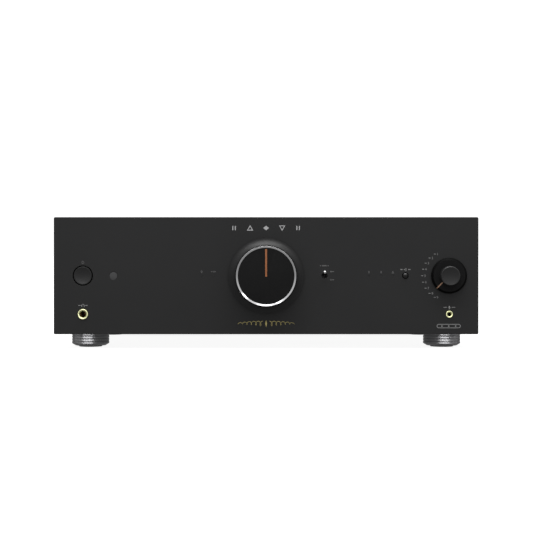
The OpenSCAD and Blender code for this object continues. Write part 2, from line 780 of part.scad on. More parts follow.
// Lever with a pivot ball, a tail inside the switch and a ball tip
module toggle_lever() placed() color("#e4e5e8") at_front(toggle_x, control_z, toggle_pivot)
    rotate([-toggle_tilt, 0, 0]) {
        sphere(toggle_ball_r);
        rotate([0, 90, 0]) cylinder(r = toggle_pin_r, h = 2 * toggle_pin_x, center = true);
        translate([0, 0, 1]) cylinder(r1 = 0.75, r2 = 1.15, h = toggle_len - 1);
        translate([0, 0, toggle_len]) sphere(toggle_tip_r);
        bar(0.5, -9.5, 0);
    }

front_panel();
front_bracket();
bottom_chassis();
rear_panel();
top_cover();
case_screws();
feet();
foot_pads();
volume_pot();
selector_switch();
shaft_nuts();
push_switches();
toggle_switch();
ir_window();
indicator_lights();
headphone_jack_ring();
mic_jack_ring();
jack_bodies();
front_control_board();
toroidal_transformer();
transformer_clamp();
heatsink();
output_transistors();
amplifier_board();
filter_capacitors();
power_supply_board();
input_board();
ribbon_cable();
ac_inlet();
rca_housings();
rca_collars();
rca_insulators_white();
rca_insulators_red();
speaker_terminal_base();
speaker_posts();
ground_post();
optical_socket();
ethernet_socket();
volume_knob();
volume_knob_ring();
volume_knob_face();
volume_pointer();
volume_shaft();
selector_skirt();
selector_grip();
selector_pointer();
power_button();
push_button();
toggle_lever();
terminal_cap_1();
terminal_cap_2();
terminal_cap_3();
terminal_cap_4();
terminal_washer_1();
terminal_washer_2();
terminal_washer_3();
terminal_washer_4();
ground_cap();
ground_washer();
optical_flap();
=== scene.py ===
"""Looks of an integrated amplifier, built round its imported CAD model.

Metres, +Z up, front panel towards -Y."""

import json
import math

import bmesh
import bpy
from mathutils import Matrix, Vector


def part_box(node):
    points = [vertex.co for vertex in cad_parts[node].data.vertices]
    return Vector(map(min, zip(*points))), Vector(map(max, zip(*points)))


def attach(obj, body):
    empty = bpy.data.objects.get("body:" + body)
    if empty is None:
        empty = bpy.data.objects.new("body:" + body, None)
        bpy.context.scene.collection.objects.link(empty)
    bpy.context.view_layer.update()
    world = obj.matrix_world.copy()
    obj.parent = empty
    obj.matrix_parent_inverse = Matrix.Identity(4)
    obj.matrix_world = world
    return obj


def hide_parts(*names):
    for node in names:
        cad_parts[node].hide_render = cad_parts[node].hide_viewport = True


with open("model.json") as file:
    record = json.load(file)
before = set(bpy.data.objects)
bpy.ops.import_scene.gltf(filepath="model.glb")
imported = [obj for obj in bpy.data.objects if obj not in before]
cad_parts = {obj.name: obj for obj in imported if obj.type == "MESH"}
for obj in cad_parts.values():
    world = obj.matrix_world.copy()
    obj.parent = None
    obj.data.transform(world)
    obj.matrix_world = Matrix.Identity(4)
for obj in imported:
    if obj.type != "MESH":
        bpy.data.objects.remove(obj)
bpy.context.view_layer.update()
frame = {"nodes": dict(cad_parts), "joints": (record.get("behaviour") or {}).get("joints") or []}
nodes = frame["nodes"]
MM = 0.001

# ---- places, from the frame ----


def span(node):
    """Lowest corner, highest corner and middle of a CAD node."""
    low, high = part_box(node)
    return low, high, (low + high) / 2


panel_low, panel_high, panel_mid = span("front_panel")
FRONT = panel_low.y
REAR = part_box("rear_panel")[1].y
CONTROL_Z = panel_mid.z
knob_low, knob_high, knob_mid = span("volume_knob")
ring_low, ring_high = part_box("volume_knob_ring")
skirt_low, skirt_high, skirt_mid = span("selector_skirt")

# ---- material building ----


class Graph:
    """A short way to write a node tree."""

    def __init__(self, tree):
        self.tree = tree
        tree.nodes.clear()

    def add(self, kind, inputs=None, **settings):
        node = self.tree.nodes.new(kind)
        for key, value in settings.items():
            setattr(node, key, value)
        for key, value in (inputs or {}).items():
            if isinstance(value, bpy.types.NodeSocket):
                self.tree.links.new(value, node.inputs[key])
            else:
                node.inputs[key].default_value = value
        return node

    def math(self, operation, a, b=0.0, c=0.0):
        return self.add("ShaderNodeMath", {0: a, 1: b, 2: c}, operation=operation).outputs[0]

    def position(self):
        """Object coordinates."""
        return self.add("ShaderNodeTexCoord").outputs["Object"]

    def noise(self, scale, detail, rough):
        inputs = {"Scale": scale, "Detail": detail, "Roughness": rough, "Vector": self.position()}
        return self.add("ShaderNodeTexNoise", inputs).outputs["Fac"]

    def spread(self, value, low, high):
        """Maps the range where most of a noise's values lie to low and high."""
        inputs = {0: value, 1: 0.3, 2: 0.7, 3: low, 4: high}
        return self.add("ShaderNodeMapRange", inputs, clamp=True).outputs[0]

    def mix(self, factor, a, b):
        node = self.add("ShaderNodeMix", data_type="RGBA")
        for key, value in ((0, factor), (6, a), (7, b)):
            if isinstance(value, bpy.types.NodeSocket):
                self.tree.links.new(value, node.inputs[key])
            else:
                node.inputs[key].default_value = value
        return node.outputs[2]


def rgba(color):
    return (*color, 1.0) if len(color) == 3 else tuple(color)


def shade(color, factor):
    return rgba([min(1.0, c * factor) for c in color[:3]])


materials = {}


def material(name, color, rough, metallic=0.0, vary=0.12, rough_vary=0.05, grain=2500.0, grain_depth=0.0,
             patches=60.0, pattern=None, **fixed):
    """Base colour and roughness that drift slightly over the surface, and a fine grain bump.

    pattern(graph) gives an extra height; fixed sets uniform sockets of the shader."""
    mat = bpy.data.materials.new(name)
    mat.use_nodes = True
    g = Graph(mat.node_tree)
    cloud = g.noise(patches, 3.0, 0.55)
    fine = g.noise(grain, 2.0, 0.6)
    base = g.mix(g.spread(cloud, 0.0, 1.0), shade(color, 1 - vary), shade(color, 1 + vary))
    roughness = g.math("ADD", g.spread(cloud, rough - rough_vary, rough + rough_vary),
                       g.spread(fine, -rough_vary / 2, rough_vary / 2))
    inputs = {"Base Color": base, "Roughness": roughness, "Metallic": metallic}
    shader = g.add("ShaderNodeBsdfPrincipled", inputs)
    for key, value in fixed.items():
        shader.inputs[key.replace("_", " ")].default_value = value
    height = g.math("MULTIPLY", fine, grain_depth) if grain_depth else None
    if pattern:
        extra = pattern(g)
        height = g.math("ADD", height, extra) if height is not None else extra
    if height is not None:
        bump = g.add("ShaderNodeBump", {"Height": height, "Strength": 1.0, "Distance": 1.0})
        g.tree.links.new(bump.outputs["Normal"], shader.inputs["Normal"])
    g.add("ShaderNodeOutputMaterial", {"Surface": shader.outputs[0]})
    mat.diffuse_color = rgba(color)
    materials[name] = mat


def turned(center, pitch, depth):
    """Height of fine turning marks: rings round an axis along Y through center."""
    def pattern(g):
        away = tuple(-c for c in center)
        shifted = g.add("ShaderNodeVectorMath", {0: g.position(), 1: away}, operation="ADD").outputs[0]
        flat = g.add("ShaderNodeVectorMath", {0: shifted, 1: (1, 0, 1)}, operation="MULTIPLY").outputs[0]
        reach = g.add("ShaderNodeVectorMath", {0: flat}, operation="LENGTH").outputs["Value"]
        wobble = g.noise(900.0, 2.0, 0.6)
        wave = g.math("SINE", g.math("ADD", g.math("MULTIPLY", reach, 2 * math.pi / pitch),
                                     g.math("MULTIPLY", wobble, 3.0)))
        return g.math("MULTIPLY", wave, depth)
    return pattern


SATIN = dict(grain=2600.0, grain_depth=0.000012)
material("panel_satin", (0.0265, 0.0265, 0.027), 0.46, vary=0.05, rough_vary=0.025, Specular_IOR_Level=0.34,
         patches=9.0, **SATIN)
material("cover_powder", (0.0135, 0.0135, 0.014), 0.55, vary=0.08, grain=1500.0, grain_depth=0.00006,
         Specular_IOR_Level=0.4)
material("plated_steel", (0.5, 0.5, 0.49), 0.38, metallic=1.0, vary=0.12, grain=500.0, grain_depth=0.00001)
material("screw_black", (0.03, 0.03, 0.031), 0.36, metallic=0.85, grain_depth=0.00001)
material("rubber", (0.011, 0.011, 0.011), 0.82, grain=1800.0, grain_depth=0.00004, Specular_IOR_Level=0.25)
material("nickel", (0.62, 0.6, 0.56), 0.2, metallic=1.0, vary=0.06, grain_depth=0.000004)
material("gold_plate", (0.80, 0.60, 0.26), 0.16, metallic=1.0, vary=0.05, grain_depth=0.000003)
material("pale_gold", (0.86, 0.87, 0.5), 0.24, metallic=1.0, vary=0.04, grain_depth=0.000003)
material("chrome", (0.9, 0.9, 0.9), 0.07, metallic=1.0, vary=0.02, rough_vary=0.015)
material("black_plastic", (0.013, 0.013, 0.014), 0.5, grain=2000.0, grain_depth=0.00002,
         Specular_IOR_Level=0.4)
material("gloss_black", (0.006, 0.006, 0.006), 0.14, vary=0.1, rough_vary=0.03, Specular_IOR_Level=0.6)
material("smoked_window", (0.088, 0.088, 0.09), 0.35, vary=0.04, rough_vary=0.02, Specular_IOR_Level=0.25)
material("light_lens", (0.024, 0.024, 0.025), 0.3, vary=0.05, Specular_IOR_Level=0.3)
material("red_plastic", (0.42, 0.016, 0.014), 0.26, vary=0.08, Specular_IOR_Level=0.5, Coat_Weight=0.3)
material("clear_black", (0.012, 0.012, 0.013), 0.26, vary=0.08, Specular_IOR_Level=0.5, Coat_Weight=0.3)
material("white_plastic", (0.74, 0.72, 0.66), 0.35, vary=0.04)
material("circuit_board", (0.02, 0.16, 0.07), 0.4, vary=0.25, patches=220.0, grain=900.0, grain_depth=0.00003)
material("winding_tape", (0.06, 0.10, 0.26), 0.35, vary=0.2, patches=120.0, grain=700.0, grain_depth=0.0001)
material("heatsink_black", (0.018, 0.018, 0.019), 0.42, metallic=0.3, grain_depth=0.00002)
material("capacitor_sleeve", (0.012, 0.014, 0.03), 0.25, vary=0.1)
material("cable_grey", (0.33, 0.34, 0.35), 0.5, vary=0.08)
# Near-black with almost no reflection: painted shade, for gaps round the knobs that would lie in shadow.
material("painted_shade_black", (0.004, 0.004, 0.004), 0.6, Specular_IOR_Level=0.06, grain=1800.0, grain_depth=0.00001)
material("copper_line", (0.46, 0.17, 0.07), 0.42, vary=0.1, patches=300.0, Specular_IOR_Level=0.4)
material("pale_copper", (0.42, 0.25, 0.16), 0.42, vary=0.1, patches=300.0, Specular_IOR_Level=0.4)
material("contact_brown", (0.34, 0.17, 0.07), 0.5, metallic=0.3, vary=0.15)
material("ink_grey", (0.16, 0.16, 0.16), 0.6, vary=0.08, patches=900.0)
material("ink_light", (0.3, 0.3, 0.3), 0.6, vary=0.08, patches=900.0)
material("ink_silver", (0.62, 0.62, 0.63), 0.5, metallic=0.2, vary=0.06, patches=900.0)
material("ink_gold", (0.78, 0.66, 0.26), 0.45, metallic=0.3, vary=0.1, patches=900.0)
material("ink_white", (0.5, 0.5, 0.5), 0.6, vary=0.06, patches=900.0)
knob_axis = (knob_mid.x, 0.0, knob_mid.z)
selector_axis = (skirt_mid.x, 0.0, skirt_mid.z)
material("knob_satin", (0.019, 0.019, 0.0193), 0.36, vary=0.06, rough_vary=0.03, Specular_IOR_Level=0.33,
         pattern=turned(knob_axis, 0.00035, 0.000003))
material("knob_face", (0.0145, 0.0145, 0.0147), 0.42, vary=0.05, rough_vary=0.03, Specular_IOR_Level=0.11,
         pattern=turned(knob_axis, 0.00025, 0.000004))
material("selector_satin", (0.011, 0.011, 0.0112), 0.4, vary=0.06, Specular_IOR_Level=0.12,
         pattern=turned(selector_axis, 0.0003, 0.000003))
material("grip_satin", (0.022, 0.022, 0.0225), 0.36, vary=0.06, Specular_IOR_Level=0.5,
         pattern=turned(selector_axis, 0.0003, 0.000003))
material("button_satin", (0.022, 0.022, 0.0225), 0.36, vary=0.06, Specular_IOR_Level=0.5, **SATIN)
material("polished_ring", (0.88, 0.88, 0.89), 0.13, metallic=1.0, vary=0.02, rough_vary=0.02,
         pattern=turned(knob_axis, 0.0002, 0.000001))
material("turned_foot", (0.19, 0.19, 0.195), 0.3, metallic=1.0, vary=0.06, rough_vary=0.04,
         grain_depth=0.0)

CAD_MATERIALS = {
    "panel_satin": ["front_panel"],
    "cover_powder": ["top_cover", "rear_panel"],
    "plated_steel": ["bottom_chassis", "front_bracket", "volume_pot", "volume_shaft", "transformer_clamp",
                     "ethernet_socket"],
    "screw_black": ["case_screws"],
    "turned_foot": ["feet"],
    "rubber": ["foot_pads"],
    "black_plastic": ["selector_switch", "push_switches", "toggle_switch", "jack_bodies", "rca_housings",
                      "ac_inlet", "speaker_terminal_base", "optical_socket",
                      "output_transistors"],
    "gold_plate": ["shaft_nuts", "speaker_posts", "rca_collars", "terminal_washer_1", "terminal_washer_2",
                   "terminal_washer_3", "terminal_washer_4"],
    "smoked_window": ["ir_window"],
    "light_lens": ["indicator_lights"],
    "ink_light": ["optical_flap"],
    "pale_gold": ["headphone_jack_ring", "mic_jack_ring"],
    "circuit_board": ["front_control_board", "amplifier_board", "power_supply_board", "input_board"],
    "winding_tape": ["toroidal_transformer"],
    "heatsink_black": ["heatsink"],
    "capacitor_sleeve": ["filter_capacitors"],
    "cable_grey": ["ribbon_cable"],
    "white_plastic": ["rca_insulators_white"],
    "red_plastic": ["rca_insulators_red", "terminal_cap_1", "terminal_cap_3"],
    "clear_black": ["terminal_cap_2", "terminal_cap_4"],
    "nickel": ["ground_post", "ground_washer", "ground_cap"],
    "knob_satin": ["volume_knob"],
    "polished_ring": ["volume_knob_ring"],
    "knob_face": ["volume_knob_face"],
    "copper_line": ["volume_pointer"],
    "pale_copper": ["selector_pointer"],
    "selector_satin": ["selector_skirt"],
    "grip_satin": ["selector_grip"],
    "button_satin": ["power_button"],
    "gloss_black": ["push_button"],
    "chrome": ["toggle_lever"],
}


def smooth(obj, degrees=32):
    """Smooth shading with sharp edges where the surface turns by more than the angle, and flats kept flat."""
    obj.data.shade_smooth()
    obj.data.set_sharp_from_angle(angle=math.radians(degrees))


def flat_normals(obj):
    """Large faces keep their own direction where a small bevel meets them."""
    weighted = obj.modifiers.new("normals", "WEIGHTED_NORMAL")
    weighted.keep_sharp = True
    weighted.weight = 100


def paint(obj, name):
    obj.data.materials.clear()
    obj.data.materials.append(materials[name])


for name, members in CAD_MATERIALS.items():
    for member in members:
        paint(nodes[member], name)
        weld = nodes[member].modifiers.new("weld", "WELD")
        weld.merge_threshold = 1e-6
        smooth(nodes[member])
        flat_normals(nodes[member])

# ---- geometry helpers, in millimetres ----


def front(x=0.0, z=0.0):
    """Maps (right, up, out of the front panel) from a point on the panel's face to metres."""
    return lambda u, v, h: ((x + u) * MM, FRONT - h * MM, (z + v) * MM)


def upright(x=0.0, y=0.0):
    """Maps (right, back, up) from a point on the floor to metres."""
    return lambda u, v, h: ((x + u) * MM, (y + v) * MM, h * MM)


def finish_mesh(name, bm, coat, body="chassis", slot=None, hides=(), sharp=32):
    """Turns a mesh in the making into a piece of the object."""
    bmesh.ops.remove_doubles(bm, verts=bm.verts, dist=1e-7)
    bmesh.ops.recalc_face_normals(bm, faces=bm.faces)
    mesh = bpy.data.meshes.new(name)
    bm.to_mesh(mesh)
    bm.free()
    obj = bpy.data.objects.new(name, mesh)
    bpy.context.scene.collection.objects.link(obj)
    paint(obj, coat)
    smooth(obj, sharp)
    flat_normals(obj)
    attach(obj, body)
    if hides:
        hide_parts(*hides)
    return obj


def rounded(points, segments=5):
    """A profile whose (radius, height, fillet) points are rounded by their fillets."""
    out = []
    for i, point in enumerate(points):
        if len(point) < 3:
            out.append(point)
            continue
        here = Vector(point[:2])
        before = (Vector(points[i - 1][:2]) - here).normalized()
        after = (Vector(points[(i + 1) % len(points)][:2]) - here).normalized()
        half = before.angle(after) / 2
        center = here + (before + after).normalized() * point[2] / math.sin(half)
        reach = point[2] / math.tan(half)
        begin, end = here + before * reach - center, here + after * reach - center
        out += [tuple(center + begin.slerp(end, k / segments).normalized() * point[2])
                for k in range(segments + 1)]
    return out


def arc(center, radius, start, end, segments):
    """Profile points on a circle, angles in degrees."""
    turns = [math.radians(start + (end - start) * k / segments) for k in range(segments + 1)]
    return [(center[0] + radius * math.cos(a), center[1] + radius * math.sin(a)) for a in turns]


def skin(bm, rings):
    """Faces between neighbouring rings of vertices; a ring of one vertex is a pole."""
    for a, b in zip(rings, rings[1:]):
        count = max(len(a), len(b))
        for i in range(count):
            j = (i + 1) % count
            corners = [a[i % len(a)], a[j % len(a)], b[j % len(b)], b[i % len(b)]]
            corners = list(dict.fromkeys(corners))
            if len(corners) > 2:
                bm.faces.new(corners)


def turn(bm, profile, place, steps=160, closed=False):
    """Revolves (radius, height) points about the local axis."""
    turns = [2 * math.pi * k / steps for k in range(steps)]
    rings = []
    for radius, height in profile:
        if radius < 1e-6:
            rings.append([bm.verts.new(place(0, 0, height))])
        else:
            rings.append([bm.verts.new(place(radius * math.cos(a), radius * math.sin(a), height))
                          for a in turns])
    skin(bm, rings + rings[:1] if closed else rings)


def turned_piece(name, profile, place, coat, closed=False, steps=160, **rest):
    bm = bmesh.new()
    turn(bm, profile, place, steps, closed)
    return finish_mesh(name, bm, coat, **rest)


def circle(x, y, radius, steps=48):
    """An outline that can be drawn smaller by an offset."""
    turns = [2 * math.pi * k / steps for k in range(steps)]
    return lambda inset=0.0: [(x + (radius - inset) * math.cos(a), y + (radius - inset) * math.sin(a))
                              for a in turns]


def round_box(x, y, width, height, radius, steps=8):
    """A rectangle with round corners that can be drawn smaller by an offset."""
    def outline(inset=0.0):
        corner = max(radius - inset, 0.01)
        half = (width / 2 - inset - corner, height / 2 - inset - corner)
        points = []
        for k, (sx, sy) in enumerate(((1, 1), (-1, 1), (-1, -1), (1, -1))):
            for i in range(steps + 1):
                a = math.radians(90 * (k + i / steps))
                points.append((x + sx * half[0] + corner * math.cos(a),
                               y + sy * half[1] + corner * math.sin(a)))
        return points
    return outline


def edge_section(bevel, thickness, steps=3):
    """(offset, height) from a plate's face over its rounded edge and down its side."""
    turns = [math.pi / 2 * k / steps for k in range(steps + 1)]
    return [(bevel * (1 - math.sin(a)), -bevel * (1 - math.cos(a))) for a in turns] + [(0.0, -thickness)]


def plate(bm, outline, holes, place, thickness, bevel):
    """A plate below local height 0, with rounded edges round its face and round each hole's mouth."""
    caps = ([], [])
    for shape, sign in [(outline, 1)] + [(hole, -1) for hole in holes]:
        rings = [[bm.verts.new(place(u, v, height)) for u, v in shape(sign * offset)]
                 for offset, height in edge_section(bevel, thickness)]
        skin(bm, rings)
        for cap, ring in zip(caps, (rings[0], rings[-1])):
            cap += [bm.edges.get((ring[i - 1], ring[i])) for i in range(len(ring))]
    for cap in caps:
        bmesh.ops.triangle_fill(bm, use_beauty=True, edges=cap)


# ---- front panel and cover ----

PANEL_T = 10.0
BODY_W = (panel_high.x - panel_low.x) / MM
BODY_H = (panel_high.z - panel_low.z) / MM
ZC = CONTROL_Z / MM
JACK_Z = span("headphone_jack_ring")[2].z / MM


def middle(node):
    """X and Z of a node's middle, in millimetres."""
    mid = span(node)[2]
    return mid.x / MM, mid.z / MM


power_at = middle("power_button")
push_at = middle("push_button")
ir_at = middle("ir_window")
phone_at = middle("headphone_jack_ring")
mic_at = middle("mic_jack_ring")
selector_at = middle("selector_skirt")
joints = {joint["name"]: joint for joint in frame["joints"]}
toggle_at = (joints["toggle_flip"]["pos_m"][0] / MM, ZC)
LIGHTS_X = (-66.0, -54.2, 105.3, 117.7, 129.8)

panel_holes = [circle(0, ZC, 12), circle(selector_at[0], ZC, 10), circle(power_at[0], ZC, 10.3, 96),
               circle(ir_at[0], ZC, 3.9), circle(push_at[0], ZC, 3.2), circle(toggle_at[0], ZC, 3.0),
               circle(phone_at[0], JACK_Z, 5.0), circle(mic_at[0], JACK_Z, 3.4)]
panel_holes += [circle(x, ZC, 0.6, 16) for x in LIGHTS_X]
bm = bmesh.new()
plate(bm, round_box(0, ZC, BODY_W, BODY_H, 1.5), panel_holes, front(), PANEL_T, 0.45)
finish_mesh("panel_plate", bm, "panel_satin", slot="front_panel", hides=("front_panel",))

COVER_T = 1.5
COVER_BEND = 2.6
COVER_EDGE = 0.3
VENT = (3.2, 58.0)
VENT_PITCH = 8.0
VENT_COUNT = 16
VENT_BANKS = [(x, y) for x in (-128.0, 16.0) for y in (-45.0, 75.0)]


def wrap_cover():
    """Folded sheet over the top and down both sides, with four banks of slots in its top."""
    low, high, _ = span("top_cover")
    x_out, y0, y1, z0, z1 = high.x / MM, low.y / MM, high.y / MM, low.z / MM, high.z / MM
    x_top = x_out - COVER_BEND
    bm = bmesh.new()

    def vert(x, y, z):
        return bm.verts.new((x * MM, y * MM, z * MM))

    corners = [[vert(x, y, z) for x, y in ((-x_top, y0), (x_top, y0), (x_top, y1), (-x_top, y1))]
               for z in (z1, z1 - COVER_T)]
    for a, b in ((0, 1), (2, 3)):
        bm.faces.new([corners[0][a], corners[0][b], corners[1][b], corners[1][a]])
    caps = [[bm.edges.new((ring[0], ring[3])), bm.edges.new((ring[1], ring[2])),
             bm.edges.get((ring[0], ring[1])), bm.edges.get((ring[2], ring[3]))] for ring in corners]
    for bank in VENT_BANKS:
        for k in range(VENT_COUNT):
            hole = round_box(bank[0] + k * VENT_PITCH, bank[1], *VENT, VENT[0] / 2, 6)
            rings = [[vert(u, v, z1 + height) for u, v in hole(-offset)]
                     for offset, height in edge_section(COVER_EDGE, COVER_T)]
            skin(bm, rings)
            for cap, ring in zip(caps, (rings[0], rings[-1])):
                cap += [bm.edges.get((ring[i - 1], ring[i])) for i in range(len(ring))]
    for cap in caps:
        bmesh.ops.triangle_fill(bm, use_beauty=True, edges=cap)
    bend = (x_top, z1 - COVER_BEND)
    outer = arc(bend, COVER_BEND, 90, 0, 8) + [(x_out, z0 + COVER_EDGE), (x_out - COVER_EDGE, z0)]
    inner = [(x_out - COVER_T, z0)] + arc(bend, COVER_BEND - COVER_T, 0, 90, 8)
    for side in (-1, 1):
        ends = [[vert(side * x, y, z) for x, z in outer + inner] for y in (y0, y1)]
        for i in range(len(ends[0]) - 1):
            bm.faces.new([ends[0][i], ends[0][i + 1], ends[1][i + 1], ends[1][i]])
        for end in ends:
            bm.faces.new(end)
    finish_mesh("cover_wrap", bm, "cover_powder", slot="case_paint", hides=("top_cover",))


wrap_cover()

# ---- volume knob ----

KNOB_OUT = (FRONT - ring_low.y) / MM
KNOB_GAP = (FRONT - knob_high.y) / MM
FLARE_R = (knob_high.x - knob_low.x) / 2 / MM
RING_R = (ring_high.x - ring_low.x) / 2 / MM
WALL_R = RING_R + 0.85
FACE_R = RING_R - 2.3
FLARE_TURN = math.radians(52)
FLARE_STEPS = 28


def flare():
    """Profile from the knob's wall out to the flared rim: steep at the wall and flat at the rim."""
    points = [(FLARE_R, KNOB_GAP + 0.7)]
    step = (FLARE_R - WALL_R) / FLARE_STEPS
    for k in range(FLARE_STEPS):
        slope = math.tan(FLARE_TURN * ((k + 0.5) / FLARE_STEPS) ** 0.8)
        points.append((points[-1][0] - step, points[-1][1] + step * slope))
    return points[::-1]


at_knob = front(knob_mid.x / MM, ZC)
body_profile = [(20, KNOB_GAP), (20, 22.8), (FACE_R, 22.8), (FACE_R, 24.4), (WALL_R, 24.4, 0.35)]
body_profile = rounded(body_profile) + flare()
body_profile += [(FLARE_R, KNOB_GAP)]
turned_piece("knob_body", body_profile, at_knob, "knob_satin", closed=True, steps=256, body="volume_knob",
             slot="knob_black", hides=("volume_knob",))
RING_INNER = FACE_R + 0.5
ring_profile = rounded([(RING_INNER, KNOB_OUT - 1.6), (RING_R, KNOB_OUT - 1.6), (RING_R, KNOB_OUT, 0.08),
                        (RING_INNER, KNOB_OUT - 0.8, 0.05)])
turned_piece("knob_ring", ring_profile, at_knob, "polished_ring", closed=True, steps=256, body="volume_knob",
             slot="polished_ring", hides=("volume_knob_ring",))

FACE_OUT = (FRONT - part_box("volume_knob_face")[0].y) / MM
# The first annulus fills in face colour between the face and the ring; the second is painted shade, a
# near-black sheet in the groove between the ring and the flare.
for name, inner, outer, top, coat in (
        ("knob_face_rim", FACE_R - 0.02, RING_INNER + 0.02, FACE_OUT - 0.01, "knob_face"),
        ("knob_gap_painted_shade", RING_R - 0.02, WALL_R - 0.1, 24.45, "painted_shade_black")):
    section = [(inner, top - 0.5), (outer, top - 0.5), (outer, top), (inner, top)]
    turned_piece(name, section, at_knob, coat, closed=True, steps=256, body="volume_knob", slot="knob_black")

# ---- selector, buttons and toggle ----

at_selector = front(selector_at[0], ZC)
SKIRT_R = (skirt_high.x - skirt_low.x) / 2 / MM
GRIP_R = 10.0
SELECTOR_OUT = 15.0
DISH_R = 30.0

SKIRT_TOP = (FRONT - skirt_low.y) / MM
SKIRT_BEVEL = 2.0
skirt_inner = SKIRT_R - SKIRT_BEVEL
skirt_profile = [(0, 1.2), (skirt_inner, 1.2), (skirt_inner, SKIRT_TOP, 0.12), (0, SKIRT_TOP)]
turned_piece("selector_skirt_turned", rounded(skirt_profile), at_selector, "selector_satin", body="selector",
             slot="selector_black", hides=("selector_skirt",))
# The rim round the skirt is painted shade: near-black with almost no reflection, for the shadowed band round
# the skirt.
rim_profile = [(skirt_inner, 0.8), (SKIRT_R, 0.8), (SKIRT_R, 1.9, 0.3), (skirt_inner, SKIRT_TOP - 0.06)]
turned_piece("selector_rim_turned", rounded(rim_profile), at_selector, "painted_shade_black", closed=True,
             body="selector", slot="selector_black", hides=("selector_skirt",))
dish_rim = GRIP_R - 0.9
dish_floor = SELECTOR_OUT + DISH_R - 1.4
dish_edge = math.degrees(math.asin(dish_rim / DISH_R))
dish = arc((0, dish_floor), DISH_R, -90 + dish_edge, -90, 12)
grip_profile = [(0, 4.5), (GRIP_R, 4.5), (GRIP_R - 0.3, SELECTOR_OUT - 0.6, 0.5)] + dish
turned_piece("selector_grip_turned", rounded(grip_profile), at_selector, "grip_satin", body="selector",
             slot="selector_black", hides=("selector_grip",))

power_low, power_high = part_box("power_button")
POWER_R = (power_high.x - power_low.x) / 2 / MM
BUTTON_R = 9.2
CUP_R = 22.0
cup_rim = 8.55
cup = arc((0, CUP_R - 1.3), CUP_R, -90 + math.degrees(math.asin(cup_rim / CUP_R)), -90, 12)
button_profile = [(0, -11.8), (POWER_R, -11.8), (POWER_R, -10.3), (BUTTON_R, -10.3), (BUTTON_R, 0.4, 0.35)]
turned_piece("power_button_turned", rounded(button_profile + cup), front(power_at[0], ZC), "button_satin",
             body="power_button", slot="button_black", hides=("power_button",))

# Remote control window, a shallow lens in the panel's hole
ir_profile = [(0, -1.5), (3.86, -1.5), (3.86, -0.2, 0.15), (0, -0.12)]
turned_piece("remote_window", rounded(ir_profile), front(ir_at[0], ZC), "smoked_window", slot="smoked_window",
             hides=("ir_window",))

# ---- feet ----

FOOT_H = 15.0
FOOT_R = 19.5
feet_low, feet_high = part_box("feet")
FEET = [(x / MM, y / MM) for x in (feet_low.x + FOOT_R * MM, feet_high.x - FOOT_R * MM)
        for y in (feet_low.y + FOOT_R * MM, feet_high.y - FOOT_R * MM)]
foot_profile = [(12.4, 3.2), (12.4, 1.2), (FOOT_R - 3.6, 1.2, 0.2), (FOOT_R, 3.4, 0.5)]
for k in (3, 2, 1):
    groove = FOOT_H - 0.4 - 2.9 * k
    foot_profile += [(FOOT_R, groove - 0.62, 0.1)] + arc((FOOT_R + 0.12, groove), 0.55, 250, 110, 8) \
        + [(FOOT_R, groove + 0.62, 0.1)]
foot_profile += [(FOOT_R, FOOT_H, 0.3), (2, FOOT_H)]
feet_pieces = {}
for side in ("left", "right"):
    bm = bmesh.new()
    for x, y in FEET:
        if (x < 0) == (side == "left"):
            turn(bm, rounded(foot_profile, 3), upright(x, y), 128)
    feet_pieces[side] = finish_mesh(f"turned_feet_{side}", bm, "turned_foot", slot="foot_metal",
                                    hides=("feet",), sharp=50)

# ---- printed marks ----

INK_BASE = 0.002
INK = 0.04


def ink_object(name, parts, place, coat):
    """Flat marks a hair above the panel: parts are ("line", points, width) and ("fill", points)."""
    bm = bmesh.new()
    for kind, points, *more in parts:
        if kind == "fill":
            low = [bm.verts.new(place(u, v, INK_BASE)) for u, v in points]
            high = [bm.verts.new(place(u, v, INK)) for u, v in points]
            skin(bm, [low, high])
            bm.faces.new(high)
            bm.faces.new(low)
        else:
            stroke(bm, points, more[0], place)
    finish_mesh(name, bm, coat, sharp=60)


def stroke(bm, points, width, place):
    """A ribbon along points with mitred turns; it tapers where width is a list."""
    count = len(points)
    looped = Vector(points[0]).to_2d() == Vector(points[-1]).to_2d() and count > 3
    if looped:
        points = points[:-1]
        count -= 1
    sides = []
    for i, point in enumerate(points):
        here = Vector(point)
        back = here - Vector(points[i - 1]) if i or looped else None
        ahead = Vector(points[(i + 1) % count]) - here if i < count - 1 or looped else None
        back = (back or ahead).normalized()
        ahead = (ahead or back).normalized()
        along = (back + ahead).normalized()
        across = Vector((-along.y, along.x))
        mitre = max(0.4, across.dot(Vector((-back.y, back.x))))
        half = (width[i] if isinstance(width, list) else width) / 2 / mitre
        sides.append([bm.verts.new(place(*(here + across * s), h)) for s, h in
                      ((half, INK_BASE), (half, INK), (-half, INK), (-half, INK_BASE))])
    pairs = list(zip(sides, sides[1:] + sides[:1])) if looped else list(zip(sides, sides[1:]))
    for a, b in pairs:
        for k in range(4):
            bm.faces.new([a[k], a[(k + 1) % 4], b[(k + 1) % 4], b[k]])
    if not looped:
        bm.faces.new(sides[0])
        bm.faces.new(sides[-1])


def ring_points(x, y, radius, start=0, end=360, steps=24):
    turns = [math.radians(start + (end - start) * k / steps) for k in range(steps + 1)]
    points = [(x + radius * math.cos(a), y + radius * math.sin(a)) for a in turns]
    if end - start == 360:
        points[-1] = points[0]
    return points


def bar_mark(x, y, width, height):
    return ("fill", [(x - width / 2, y - height / 2), (x + width / 2, y - height / 2),
                     (x + width / 2, y + height / 2), (x - width / 2, y + height / 2)])


def dot_mark(x, y, radius, steps=20):
    return ("fill", ring_points(x, y, radius, steps=steps)[:-1])


